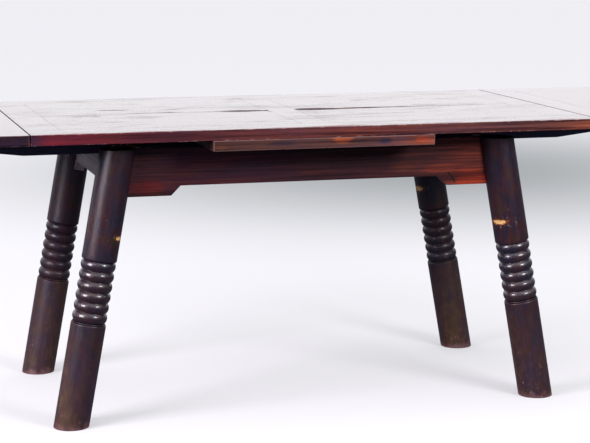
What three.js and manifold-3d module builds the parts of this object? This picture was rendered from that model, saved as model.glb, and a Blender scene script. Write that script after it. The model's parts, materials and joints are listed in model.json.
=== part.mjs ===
// A draw-leaf dining table with four splayed, turned legs, shown with both leaves drawn out.
// Millimetres, +Z up. The origin is on the floor under the middle of the table.
// +X runs along the table's length, and -Y is its front.

import * as THREE from 'three';
import { mergeVertices } from 'three/addons/utils/BufferGeometryUtils.js';
import Module from 'manifold-3d';

const wasm = await Module();
wasm.setup();

// ---- Driving dimensions ----

const TABLE_HEIGHT = 760;
const TABLE_WIDTH = 850;
const BOARD_THICKNESS = 27; // main top, leaves and centre board alike
const TOP_LENGTH = 1476;
const LEAF_LENGTH = 450;
const LEAF_GAP = 2.5; // between a drawn-out leaf and the main top
const CENTRE_BOARD_LENGTH = 577;

const GAP = 0.3; // clearance between pieces that touch

// Frame-and-panel work of the main top and the leaves.
const RAIL_WIDTH = 90;
const END_WIDTH = 83;
const STILE_WIDTH = 77;
const TONGUE_DEPTH = 8;
const TONGUE_THICKNESS = 9;

// Legs: the leg axis stands over its foot's middle and leans in towards the table's middle.
const LEG_RADIUS = 45;
const LEG_FOOT_X = 633;
const LEG_Y = 300;
const LEG_SPLAY = THREE.MathUtils.degToRad(10.25);
const LEG_SIDES = 20;
const BEAD_COUNT = 6;
const BEAD_PITCH = 26.5;
const BEAD_CREST_RADIUS = 44.6;
const BEAD_GROOVE_RADIUS = 39.2;
const BEADS_MIDDLE = 354; // along the leg axis from the floor

// Aprons and end rails: their outer faces stand in the planes of the leg axes.
const APRON_THICKNESS = 26;
const APRON_LOWER_EDGE = 607;
const EAR_LOWER_EDGE = 582;
const APRON_EAR_TOP_X = 345;
const RAIL_EAR_TOP_Y = 229;
const RAIL_EAR_RUN = 21;
const TENON_LENGTH = 25;
const TENON_INSET = 2; // from the board's outer face
const TENON_THICKNESS = 16;
const TENON_LOWER_EDGE = 605; // along the leg axis
const TENON_UPPER_EDGE = 700;

// Lopers: the sliding bearers that carry a leaf. Each end's pair has its own distance from the middle.
const LOPER_THICKNESS = 26;
const LOPER_DEPTH = 49;
const LOPER_OFFSET = { left: 200, right: 170 };
const LOPER_TAIL = 520; // from the leaf's inner end towards the table's middle
const LOPER_REACH = 380; // from the leaf's inner end under the leaf
const LOPER_FLAT_END = -12; // where its lower edge starts to rise
const LEAF_TRAVEL = 450; // from drawn out to closed
const LEAF_PLAY = 5; // before the stop block meets the end rail
const STOP_LENGTH = 30;
const STOP_THICKNESS = 12;

const CROSS_RAIL_X = 120;
const CROSS_RAIL_THICKNESS = 24;
const CROSS_RAIL_LOWER_EDGE = 610;
const CROSS_TENON = { thickness: 12, length: 12, lower: 630, upper: 700 };
const LOPER_NOTCH = { inner: 140, outer: 230, floor: 654 };

const CORNER_BLOCK = { onRail: 35, onApron: 35, inset: 49, lower: 622, upper: 671 };

const SCREW = { shank: 2.4, head: 5, headDepth: 3, tip: 5, slotWidth: 1, slotDepth: 1.2 };
const BORE_DEPTH = 4; // how far a screw hole runs on past the screw's head and tip
const CENTRE_SCREW = { y: 100, length: 50 };
const INNER_LEAF_SCREW = { x: 42, head: 22, length: 35 }; // head: its depth below the leaf's underside
const OUTER_LEAF_SCREW = { x: 345, head: 5, length: 18 };

const DOWEL = { radius: 8, y: 380, sunk: 24, proud: 14, chamfer: 2, looseness: 1 };

// ---- Heights that follow from them ----

const TOP_UNDERSIDE = TABLE_HEIGHT - BOARD_THICKNESS;
const CENTRE_BOARD_TOP = TOP_UNDERSIDE - GAP;
const CENTRE_BOARD_UNDERSIDE = TOP_UNDERSIDE - BOARD_THICKNESS;
const FRAME_TOP = CENTRE_BOARD_UNDERSIDE - GAP;
const LOPER_LOWER_EDGE = TOP_UNDERSIDE - LOPER_DEPTH;
const LEAF_INNER_X = TOP_LENGTH / 2 + LEAF_GAP;
const HALF_WIDTH = TABLE_WIDTH / 2;
const APRON_INNER_Y = LEG_Y - APRON_THICKNESS;

// ---- Geometry helpers ----

function solidOf(geometry) {
  const bare = geometry.index ? geometry.toNonIndexed() : geometry.clone();
  bare.deleteAttribute('normal');
  bare.deleteAttribute('uv');
  const merged = mergeVertices(bare, 1e-4);
  return new wasm.Manifold(new wasm.Mesh({
    numProp: 3,
    vertProperties: new Float32Array(merged.attributes.position.array),
    triVerts: new Uint32Array(merged.index.array),
  }));
}

function geometryOf(solid) {
  const mesh = solid.getMesh();
  const geometry = new THREE.BufferGeometry();
  geometry.setAttribute('position', new THREE.BufferAttribute(mesh.vertProperties, 3));
  geometry.setIndex(new THREE.BufferAttribute(mesh.triVerts, 1));
  geometry.computeVertexNormals();
  return geometry;
}

// A box between two values on each axis, given in either order.
function block(xs, ys, zs, matrix = new THREE.Matrix4()) {
  const size = [xs, ys, zs].map(([a, b]) => Math.abs(b - a));
  const middle = [xs, ys, zs].map(([a, b]) => (a + b) / 2);
  const box = new THREE.BoxGeometry(...size).translate(...middle).applyMatrix4(matrix);
  return solidOf(box);
}

function extruded(points, depth, basis, matrix = new THREE.Matrix4()) {
  const shape = new THREE.Shape(points.map(([u, v]) => new THREE.Vector2(u, v)));
  const geometry = new THREE.ExtrudeGeometry(shape, { depth, bevelEnabled: false });
  return solidOf(geometry.applyMatrix4(basis).applyMatrix4(matrix));
}

// An outline in X and Z, cut from a board that lies between two values of Y.
function boardXZ(points, y0, y1) {
  const low = Math.min(y0, y1);
  const basis = new THREE.Matrix4().set(
    1, 0, 0, 0,
    0, 0, -1, low + Math.abs(y1 - y0),
    0, 1, 0, 0,
    0, 0, 0, 1,
  );
  return extruded(points, Math.abs(y1 - y0), basis);
}

// An outline in Y and Z, cut from a board that lies between two values of X.
function boardYZ(points, x0, x1, matrix) {
  const basis = new THREE.Matrix4().set(
    0, 0, 1, Math.min(x0, x1),
    1, 0, 0, 0,
    0, 1, 0, 0,
    0, 0, 0, 1,
  );
  return extruded(points, Math.abs(x1 - x0), basis, matrix);
}

// A solid of revolution about the Z axis from [radius, height] points.
function turned(points, sides, matrix = new THREE.Matrix4()) {
  const profile = points.map(([r, h]) => new THREE.Vector2(r, h));
  return solidOf(new THREE.LatheGeometry(profile, sides).rotateX(Math.PI / 2).applyMatrix4(matrix));
}

function rod(radius, z0, z1, sides, matrix) {
  return turned([[0, z0], [radius, z0], [radius, z1], [0, z1]], sides, matrix);
}

const table = new THREE.Group();

function piece(name, solid, look) {
  const mesh = new THREE.Mesh(geometryOf(solid), new THREE.MeshStandardMaterial(look));
  mesh.name = name;
  table.add(mesh);
}

// ---- Colours ----

const TOP_WOOD = { color: 0x6e2f22, roughness: 0.25, metalness: 0 };
const LEAF_WOOD = { color: 0x5a2a28, roughness: 0.25, metalness: 0 };
const CENTRE_WOOD = { color: 0x6b3a22, roughness: 0.35, metalness: 0 };
const APRON_WOOD = { color: 0x4f1f1a, roughness: 0.35, metalness: 0 };
const LEG_WOOD = { color: 0x2e1a17, roughness: 0.3, metalness: 0 };
const HIDDEN_WOOD = { color: 0x8a6242, roughness: 0.7, metalness: 0 };
const SCREW_METAL = { color: 0xa8884c, roughness: 0.4, metalness: 1 };

// ---- Places at the table's two ends and four corners ----

const SIDES = { left: -1, right: 1 };
const FACES = { front: -1, back: 1 };

// The frame of a leaning end: local Z runs up the leg axes, and local X points to the table's right.
function endFrame(side) {
  const lean = new THREE.Matrix4().makeRotationY(-side * LEG_SPLAY);
  return new THREE.Matrix4().makeTranslation(side * LEG_FOOT_X, 0, 0).multiply(lean);
}

function legFrame(side, face) {
  return endFrame(side).multiply(new THREE.Matrix4().makeTranslation(0, face * LEG_Y, 0));
}

// From a height above the floor to the distance along the leg axis.
function alongLeg(height) {
  return height / Math.cos(LEG_SPLAY);
}

function underFrameTop(solid) {
  const far = 2 * TOP_LENGTH;
  return solid.intersect(block([-far, far], [-far, far], [0, FRAME_TOP]));
}

// ---- Legs ----

function legProfile() {
  const beadsLow = BEADS_MIDDLE - BEAD_COUNT * BEAD_PITCH / 2;
  const beadsHigh = BEADS_MIDDLE + BEAD_COUNT * BEAD_PITCH / 2;
  const shoulder = 3;
  const filletHeight = 4;
  const filletRadius = 42.8;
  const rise = BEAD_CREST_RADIUS - BEAD_GROOVE_RADIUS;
  const points = [
    [0, -40],
    [LEG_RADIUS, -40],
    [LEG_RADIUS, beadsLow - filletHeight - 2 * shoulder],
    [BEAD_GROOVE_RADIUS + rise / 2, beadsLow - filletHeight - shoulder],
    [filletRadius, beadsLow - filletHeight],
    [filletRadius, beadsLow - 1],
  ];
  const stepsPerBead = 4;
  for (let step = 0; step <= BEAD_COUNT * stepsPerBead; step += 1) {
    const phase = Math.PI * (step % stepsPerBead) / stepsPerBead;
    points.push([BEAD_GROOVE_RADIUS + rise * Math.sin(phase), beadsLow + step * BEAD_PITCH / stepsPerBead]);
  }
  points.push([LEG_RADIUS, beadsHigh + shoulder], [LEG_RADIUS, TABLE_HEIGHT], [0, TABLE_HEIGHT]);
  return points;
}

// The tenon of an apron's end, in its leg's frame, grown on all sides by the clearance of its mortise.
function apronTenon(side, face, grow) {
  const outside = LEG_RADIUS + TENON_LENGTH / 2;
  const xs = [-side * outside, -side * (LEG_RADIUS - TENON_LENGTH - grow)];
  const ys = [-face * (TENON_INSET - grow), -face * (TENON_INSET + TENON_THICKNESS + grow)];
  const zs = [TENON_LOWER_EDGE - grow, TENON_UPPER_EDGE + grow];
  return block(xs, ys, zs, legFrame(side, face));
}

function endRailTenon(side, face, grow) {
  const outside = LEG_RADIUS + TENON_LENGTH / 2;
  const xs = [-side * (TENON_INSET - grow), -side * (TENON_INSET + TENON_THICKNESS + grow)];
  const ys = [-face * outside, -face * (LEG_RADIUS - TENON_LENGTH + TENON_INSET * 2 - grow)];
  const zs = [TENON_LOWER_EDGE - grow, TENON_UPPER_EDGE + grow];
  return block(xs, ys, zs, legFrame(side, face));
}

// What the round leg takes out of a board that is scribed against it.
function scribe(side, face) {
  return rod(LEG_RADIUS + 1.5 * GAP, -100, 2 * TABLE_HEIGHT, LEG_SIDES, legFrame(side, face));
}

function leg(side, face) {
  const blank = turned(legProfile(), LEG_SIDES, legFrame(side, face));
  return underFrameTop(blank)
    .subtract(apronTenon(side, face, GAP))
    .subtract(endRailTenon(side, face, GAP));
}

// ---- Aprons and end rails ----

function legAxisX(height) {
  return LEG_FOOT_X - height * Math.tan(LEG_SPLAY);
}

function apron(face) {
  const earRun = APRON_LOWER_EDGE - EAR_LOWER_EDGE;
  const half = [
    [APRON_EAR_TOP_X, APRON_LOWER_EDGE],
    [APRON_EAR_TOP_X + earRun, EAR_LOWER_EDGE],
    [legAxisX(EAR_LOWER_EDGE), EAR_LOWER_EDGE],
    [legAxisX(FRAME_TOP), FRAME_TOP],
  ];
  const mirrored = half.map(([x, z]) => [-x, z]).reverse();
  let board = boardXZ([...half, ...mirrored], face * LEG_Y, face * APRON_INNER_Y);
  for (const side of Object.values(SIDES)) {
    board = board.subtract(scribe(side, face)).add(apronTenon(side, face, 0));
    board = board.subtract(crossTenon(side, face, GAP));
  }
  return board;
}

function endRail(side, offset) {
  const half = [
    [RAIL_EAR_TOP_Y, alongLeg(APRON_LOWER_EDGE)],
    [RAIL_EAR_TOP_Y + RAIL_EAR_RUN, alongLeg(EAR_LOWER_EDGE)],
    [LEG_Y, alongLeg(EAR_LOWER_EDGE)],
    [LEG_Y, TABLE_HEIGHT],
  ];
  const mirrored = half.map(([y, z]) => [-y, z]).reverse();
  const board = boardYZ([...half, ...mirrored], 0, -side * APRON_THICKNESS, endFrame(side));
  let rail = underFrameTop(board);
  const halfNotch = LOPER_THICKNESS / 2 + 2 * GAP;
  for (const face of Object.values(FACES)) {
    const ys = [face * (offset - halfNotch), face * (offset + halfNotch)];
    const xs = [side * CENTRE_BOARD_LENGTH / 2, side * TOP_LENGTH / 2];
    rail = rail.subtract(scribe(side, face)).add(endRailTenon(side, face, 0));
    rail = rail.subtract(block(xs, ys, [LOPER_LOWER_EDGE - GAP, TABLE_HEIGHT]));
  }
  return rail;
}

function cornerBlock(side, face) {
  const railX = -side * (APRON_THICKNESS + GAP);
  const apronY = face * (APRON_INNER_Y - GAP);
  const { onRail, onApron, inset, lower, upper } = CORNER_BLOCK;
  const outline = [
    [railX, apronY - face * inset],
    [railX, apronY - face * (inset + onRail)],
    [railX - side * (inset + onApron), apronY],
    [railX - side * inset, apronY],
  ];
  const rise = new THREE.Matrix4().makeTranslation(0, 0, lower);
  return extruded(outline, upper - lower, rise, endFrame(side));
}

// ---- Cross rails under the centre board ----

function crossTenon(side, face, grow) {
  const { thickness, length, lower, upper } = CROSS_TENON;
  const x = side * CROSS_RAIL_X;
  const xs = [x - thickness / 2 - grow, x + thickness / 2 + grow];
  const ys = [face * (APRON_INNER_Y - length), face * (APRON_INNER_Y + length + grow)];
  return block(xs, ys, [lower - grow, upper + grow]);
}

function crossRail(side) {
  const x = side * CROSS_RAIL_X;
  const xs = [x - CROSS_RAIL_THICKNESS / 2, x + CROSS_RAIL_THICKNESS / 2];
  const reach = APRON_INNER_Y - GAP;
  let rail = block(xs, [-reach, reach], [CROSS_RAIL_LOWER_EDGE, FRAME_TOP]);
  for (const face of Object.values(FACES)) {
    const ys = [face * LOPER_NOTCH.inner, face * LOPER_NOTCH.outer];
    rail = rail.subtract(block([x - APRON_THICKNESS, x + APRON_THICKNESS], ys, [LOPER_NOTCH.floor, TABLE_HEIGHT]));
    rail = rail.add(crossTenon(side, face, 0));
    rail = rail.subtract(centreScrewHole(side, face));
  }
  return rail;
}

// ---- Screws and dowels ----

// A countersunk screw along +Z with its head's face at height 0, or the hole that it needs.
function screwProfile(length, grow) {
  const { shank, head, headDepth, tip } = SCREW;
  return [
    [0, -length - grow],
    [shank + grow, -length + tip - grow],
    [shank + grow, -headDepth - grow],
    [head + grow, 0],
  ];
}

function screwFrame(x, y, z, pointsUp) {
  const turn = new THREE.Matrix4().makeRotationX(pointsUp ? Math.PI : 0);
  return new THREE.Matrix4().makeTranslation(x, y, z).multiply(turn);
}

function screw(length, frame) {
  const { head, slotWidth, slotDepth } = SCREW;
  const slot = block([-head, head], [-slotWidth / 2, slotWidth / 2], [-slotDepth, slotDepth], frame);
  return turned([...screwProfile(length, 0), [0, 0]], 12, frame).subtract(slot);
}

// The hole runs on past the head, so that the head lies at the bottom of a counterbore.
function screwHole(length, counterbore, frame) {
  const top = [[SCREW.head + GAP, counterbore], [0, counterbore]];
  return turned([...screwProfile(length, GAP), ...top], 12, frame);
}

function centreScrewFrame(side, face) {
  return screwFrame(side * CROSS_RAIL_X, face * CENTRE_SCREW.y, CENTRE_BOARD_TOP - GAP, false);
}

function centreScrewHole(side, face) {
  return screwHole(CENTRE_SCREW.length, BORE_DEPTH, centreScrewFrame(side, face));
}

function dowelHole(face, radius, z0, z1) {
  return rod(radius, z0, z1, 16, new THREE.Matrix4().makeTranslation(0, face * DOWEL.y, 0));
}

function dowel(face) {
  const low = CENTRE_BOARD_TOP - DOWEL.sunk;
  const high = TOP_UNDERSIDE + DOWEL.proud;
  const profile = [
    [0, low],
    [DOWEL.radius, low],
    [DOWEL.radius, high - DOWEL.chamfer],
    [DOWEL.radius - DOWEL.chamfer, high],
    [0, high],
  ];
  return turned(profile, 16, new THREE.Matrix4().makeTranslation(0, face * DOWEL.y, 0));
}

function centreBoard() {
  const xs = [-CENTRE_BOARD_LENGTH / 2, CENTRE_BOARD_LENGTH / 2];
  let board = block(xs, [-HALF_WIDTH, HALF_WIDTH], [CENTRE_BOARD_UNDERSIDE, CENTRE_BOARD_TOP]);
  for (const face of Object.values(FACES)) {
    const floor = CENTRE_BOARD_TOP - DOWEL.sunk - GAP;
    board = board.subtract(dowelHole(face, DOWEL.radius + GAP, floor, TABLE_HEIGHT));
    for (const side of Object.values(SIDES)) {
      board = board.subtract(centreScrewHole(side, face));
    }
  }
  return board;
}

// ---- Frame-and-panel boards: the main top and the leaves ----

const MIDDLE_HEIGHT = TABLE_HEIGHT - BOARD_THICKNESS / 2;
const FULL = [TOP_UNDERSIDE, TABLE_HEIGHT];
const RAIL_INNER_Y = HALF_WIDTH - RAIL_WIDTH;

function tongueHeights(grow) {
  const half = TONGUE_THICKNESS / 2 + grow;
  return [MIDDLE_HEIGHT - half, MIDDLE_HEIGHT + half];
}

function framedRail(x0, x1, face) {
  const board = block([x0, x1], [face * HALF_WIDTH, face * RAIL_INNER_Y], FULL);
  const groove = [face * (RAIL_INNER_Y - 1), face * (RAIL_INNER_Y + TONGUE_DEPTH + GAP)];
  return board.subtract(block([x0 - 1, x1 + 1], groove, tongueHeights(GAP)));
}

// A member across the width, tongued into both rails and grooved on the sides where a panel meets it.
function framedCrossMember(x0, x1, grooveLow, grooveHigh) {
  const reach = RAIL_INNER_Y - GAP;
  const tongueReach = RAIL_INNER_Y + TONGUE_DEPTH;
  let member = block([x0, x1], [-reach, reach], FULL);
  member = member.add(block([x0, x1], [-tongueReach, tongueReach], tongueHeights(0)));
  const across = [-HALF_WIDTH, HALF_WIDTH];
  if (grooveLow) {
    member = member.subtract(block([x0 - 1, x0 + TONGUE_DEPTH + GAP], across, tongueHeights(GAP)));
  }
  if (grooveHigh) {
    member = member.subtract(block([x1 - TONGUE_DEPTH - GAP, x1 + 1], across, tongueHeights(GAP)));
  }
  return member;
}

// One of a panel's two boards, which meet along the table's middle line.
function panelBoard(x0, x1, face) {
  const ys = [face * GAP / 2, face * (RAIL_INNER_Y - GAP)];
  const tongueYs = [face * GAP / 2, face * (RAIL_INNER_Y + TONGUE_DEPTH - GAP)];
  const board = block([x0 + GAP, x1 - GAP], ys, FULL);
  const tongue = block([x0 - TONGUE_DEPTH + GAP, x1 + TONGUE_DEPTH - GAP], tongueYs, tongueHeights(0));
  return board.add(tongue);
}

function addMainTop() {
  const end = TOP_LENGTH / 2;
  for (const [faceName, face] of Object.entries(FACES)) {
    const hole = dowelHole(face, DOWEL.radius + DOWEL.looseness, 0, TOP_UNDERSIDE + DOWEL.proud + 1);
    piece(`top_rail_${faceName}`, framedRail(-end, end, face).subtract(hole), TOP_WOOD);
    piece(`top_panel_left_${faceName}`, panelBoard(-end + END_WIDTH, -STILE_WIDTH / 2, face), TOP_WOOD);
    piece(`top_panel_right_${faceName}`, panelBoard(STILE_WIDTH / 2, end - END_WIDTH, face), TOP_WOOD);
  }
  piece('top_end_left', framedCrossMember(-end, -end + END_WIDTH, false, true), TOP_WOOD);
  piece('top_end_right', framedCrossMember(end - END_WIDTH, end, true, false), TOP_WOOD);
  piece('top_stile_centre', framedCrossMember(-STILE_WIDTH / 2, STILE_WIDTH / 2, true, true), TOP_WOOD);
}

// ---- Lopers ----

// The loper's outline for the right-hand leaf, with X counted outwards from the leaf's inner end.
// Its lower edge runs level on the end rail's notch and then rises under the leaf by a board's thickness
// over the rest of the leaf's travel. The upper edge of its tail falls by the same slope, to pass under
// the centre board.
function loperOutline() {
  const notchX = legAxisX(LOPER_LOWER_EDGE) - LEAF_INNER_X;
  const slope = BOARD_THICKNESS / (LEAF_TRAVEL + notchX - LOPER_FLAT_END);
  const tailTop = FRAME_TOP - GAP;
  const leafTop = TOP_UNDERSIDE - GAP;
  const tipLower = LOPER_LOWER_EDGE + slope * (LOPER_REACH - LOPER_FLAT_END);
  return [
    [-LOPER_TAIL, LOPER_LOWER_EDGE],
    [LOPER_FLAT_END, LOPER_LOWER_EDGE],
    [LOPER_REACH, tipLower],
    [LOPER_REACH, leafTop],
    [0, leafTop],
    [-(leafTop - tailTop) / slope, tailTop],
    [-LOPER_TAIL, tailTop],
  ];
}

function leafScrews(side, offset, face) {
  return [INNER_LEAF_SCREW, OUTER_LEAF_SCREW].map(({ x, head, length }) => ({
    length,
    frame: screwFrame(side * (LEAF_INNER_X + x), face * offset, TOP_UNDERSIDE - head, true),
  }));
}

function loper(side, offset, face) {
  const outline = loperOutline().map(([x, z]) => [side * (LEAF_INNER_X + x), z]);
  const inner = offset - LOPER_THICKNESS / 2;
  let board = boardXZ(outline, face * inner, face * (inner + LOPER_THICKNESS));
  for (const { length, frame } of leafScrews(side, offset, face)) {
    board = board.subtract(screwHole(length, LOPER_DEPTH, frame));
  }
  return board;
}

// The block on the loper's tail that meets the end rail's inner face when the leaf is fully out.
// It is on the side away from the other leaf's loper.
function stopBlock(side, offset, face) {
  const away = offset === Math.max(...Object.values(LOPER_OFFSET)) ? 1 : -1;
  const loperFace = offset + away * (LOPER_THICKNESS / 2 + GAP);
  const railInner = legAxisX(FRAME_TOP) - APRON_THICKNESS / Math.cos(LEG_SPLAY);
  const outer = railInner - LEAF_PLAY - 1;
  const xs = [side * (outer - STOP_LENGTH), side * outer];
  const ys = [face * loperFace, face * (loperFace + away * STOP_THICKNESS)];
  return block(xs, ys, [LOPER_LOWER_EDGE, FRAME_TOP - GAP]);
}

function addLeaf(sideName) {
  const side = SIDES[sideName];
  const offset = LOPER_OFFSET[sideName];
  const [low, high] = [LEAF_INNER_X, LEAF_INNER_X + LEAF_LENGTH].map((x) => side * x).sort((a, b) => a - b);
  const inner = side > 0 ? [low, low + END_WIDTH] : [high - END_WIDTH, high];
  const outer = side > 0 ? [high - END_WIDTH, high] : [low, low + END_WIDTH];
  const holes = Object.values(FACES).flatMap((face) => leafScrews(side, offset, face));
  const drilled = (solid) => holes.reduce(
    (rest, { length, frame }) => rest.subtract(screwHole(length, 0, frame)),
    solid,
  );
  for (const [faceName, face] of Object.entries(FACES)) {
    const name = (part) => `${sideName}_leaf_${part}_${faceName}`;
    piece(name('rail'), framedRail(low, high, face), LEAF_WOOD);
    piece(name('panel'), drilled(panelBoard(low + END_WIDTH, high - END_WIDTH, face)), LEAF_WOOD);
    piece(name('loper'), loper(side, offset, face), APRON_WOOD);
    piece(name('stop'), stopBlock(side, offset, face), HIDDEN_WOOD);
    leafScrews(side, offset, face).forEach(({ length, frame }, index) => {
      piece(name(['screw_inner', 'screw_outer'][index]), screw(length, frame), SCREW_METAL);
    });
  }
  piece(`${sideName}_leaf_end_inner`, drilled(framedCrossMember(...inner, side < 0, side > 0)), LEAF_WOOD);
  piece(`${sideName}_leaf_end_outer`, drilled(framedCrossMember(...outer, side > 0, side < 0)), LEAF_WOOD);
}

// ---- Assembly ----

for (const [sideName, side] of Object.entries(SIDES)) {
  for (const [faceName, face] of Object.entries(FACES)) {
    piece(`leg_${faceName}_${sideName}`, leg(side, face), LEG_WOOD);
    piece(`corner_block_${faceName}_${sideName}`, cornerBlock(side, face), HIDDEN_WOOD);
    const frame = centreScrewFrame(side, face);
    piece(`centre_board_screw_${faceName}_${sideName}`, screw(CENTRE_SCREW.length, frame), SCREW_METAL);
  }
  piece(`end_rail_${sideName}`, endRail(side, LOPER_OFFSET[sideName]), APRON_WOOD);
  piece(`cross_rail_${sideName}`, crossRail(side), HIDDEN_WOOD);
}
for (const [faceName, face] of Object.entries(FACES)) {
  piece(`apron_${faceName}`, apron(face), APRON_WOOD);
  piece(`locating_dowel_${faceName}`, dowel(face), HIDDEN_WOOD);
}
piece('centre_board', centreBoard(), CENTRE_WOOD);
addMainTop();
for (const sideName of Object.keys(SIDES)) {
  addLeaf(sideName);
}

export default table;
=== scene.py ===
"""Looks of the draw-leaf dining table: turned legs, boards with worn arrises, stained and polished wood.

Lengths are metres: +X along the table, -Y its front, +Z up, and the origin on the floor under its middle.
"""

import json
import math

import bmesh
import bpy
from mathutils import Matrix, Vector, noise

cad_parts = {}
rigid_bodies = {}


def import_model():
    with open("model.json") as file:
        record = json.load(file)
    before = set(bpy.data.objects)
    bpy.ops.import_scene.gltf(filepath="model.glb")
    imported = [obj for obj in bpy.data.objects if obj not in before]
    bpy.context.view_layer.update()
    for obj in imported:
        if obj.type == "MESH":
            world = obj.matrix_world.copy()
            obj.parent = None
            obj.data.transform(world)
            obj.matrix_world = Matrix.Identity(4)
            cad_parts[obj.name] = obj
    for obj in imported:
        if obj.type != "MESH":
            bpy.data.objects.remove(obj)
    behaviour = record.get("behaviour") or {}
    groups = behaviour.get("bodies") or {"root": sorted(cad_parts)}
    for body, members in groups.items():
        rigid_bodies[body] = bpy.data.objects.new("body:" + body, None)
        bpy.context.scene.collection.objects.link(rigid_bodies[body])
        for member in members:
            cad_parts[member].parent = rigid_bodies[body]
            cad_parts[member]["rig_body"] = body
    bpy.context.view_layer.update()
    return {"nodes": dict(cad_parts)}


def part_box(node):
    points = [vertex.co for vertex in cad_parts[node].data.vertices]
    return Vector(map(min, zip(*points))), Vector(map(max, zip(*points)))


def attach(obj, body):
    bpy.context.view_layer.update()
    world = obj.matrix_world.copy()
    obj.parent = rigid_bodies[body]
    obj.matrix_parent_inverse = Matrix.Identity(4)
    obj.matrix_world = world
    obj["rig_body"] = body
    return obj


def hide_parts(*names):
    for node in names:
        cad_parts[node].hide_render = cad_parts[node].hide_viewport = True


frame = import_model()
NODES = frame["nodes"]
SIDES = {"left": -1, "right": 1}
FACES = {"front": -1, "back": 1}

# ---- Driving values: legs ----

LEG_RADIUS = 0.045
LEG_FOOT_X = 0.633
LEG_SPLAY = math.radians(10.25)
LEG_SIDES = 96
LEG_FOOT_ARRIS = 0.0018
BEAD_COUNT = 6
BEAD_PITCH = 0.0265
BEAD_CREST_RADIUS = 0.0446
BEAD_GROOVE_RADIUS = 0.0390
BEADS_MIDDLE = 0.354
SHOULDER = 0.003  # height of the rounded step at each end of the beads
FILLET_HEIGHT = 0.004
FILLET_RADIUS = 0.0429
LEG_INSET = 0.0002  # how far the finished surface stays inside the CAD one
LEG_UNCUT = (-0.04, 0.78)  # the leg along its axis, before its ends are cut level
RING_GAP = 0.008  # spacing of the rings of points where a leg is plain
KNOCK_RING_GAP = 0.0018
KNOCK_DEPTH = 0.0012
KNOCKS = {  # turn from the front towards the table's middle, half width, half height, distance up the leg
    ("left", "front"): (math.radians(52), 0.0165, 0.0062, 0.4970),
    ("right", "front"): (math.radians(60), 0.0270, 0.0072, 0.4955),
    ("right", "back"): (math.radians(74), 0.0230, 0.0085, 0.5000),
}
KNOCKED_ZONE = (0.47, 0.53)  # the part of a leg with closer rings of points

# ---- Driving values: boards ----

OUTER_ARRIS = 0.0016  # radius on the edges that hands and chairs rub
INNER_ARRIS = 0.0003  # where boards meet
ARRIS_ROWS = 3
SHARP_EDGE = math.radians(35)
STATION = 0.016  # spacing of the cuts that let an arris wander
SMALL_DENTS = 33  # dents along an arris, per metre, their depth, and the most that a point may move
LARGE_DENTS = 9
DENT_DEPTH = 0.0007
DENT_LIMIT = 0.0009
PANEL_SINK = 0.0014  # how far a front board has dropped along its joint
PANEL_SINK_REACH = 0.07  # how far from the joint the drop reaches
SINK_CUTS = (0.002, 0.005, 0.010, 0.018, 0.030, 0.048, PANEL_SINK_REACH)  # distances from the joint
SINK_SKIN = 0.004  # only points this near the top's surface drop
SINK_DEEPEST = 0.06  # place along the table, and how far from it the drop fades out
SINK_REACH_LEFT = 0.22
SINK_REACH_RIGHT = 0.34
SINK_LEAST = 0.12  # share of the drop that is left beyond that
TABLE_FRONT = -0.425  # faces that the marks in the finish lie on
TABLE_TOP = 0.76
APRON_FACE = -0.30


def srgb(red, green, blue):
    """A display colour, 0 to 255, as the linear light that a shader takes."""
    return tuple(((c / 255 + 0.055) / 1.055) ** 2.4 for c in (red, green, blue))


# ---- Camera ----

CAMERA_PLACE = (-1.3241, -4.7865, 1.2729)
CAMERA_TURN = math.radians(14.72)
CAMERA_DIP = math.radians(9.00)
CAMERA_LENS = 112.06
CAMERA_SHIFT = (0.0641, -0.0206)


def make_camera():
    data = bpy.data.cameras.new("camera")
    data.sensor_width = 36
    data.lens = CAMERA_LENS
    data.shift_x, data.shift_y = CAMERA_SHIFT
    data.clip_end = 300
    camera = bpy.data.objects.new("camera", data)
    camera.location = CAMERA_PLACE
    camera.rotation_euler = (math.radians(90) - CAMERA_DIP, 0, -CAMERA_TURN)
    bpy.context.scene.collection.objects.link(camera)
    bpy.context.scene.camera = camera


# ---- Shader graphs ----


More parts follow.
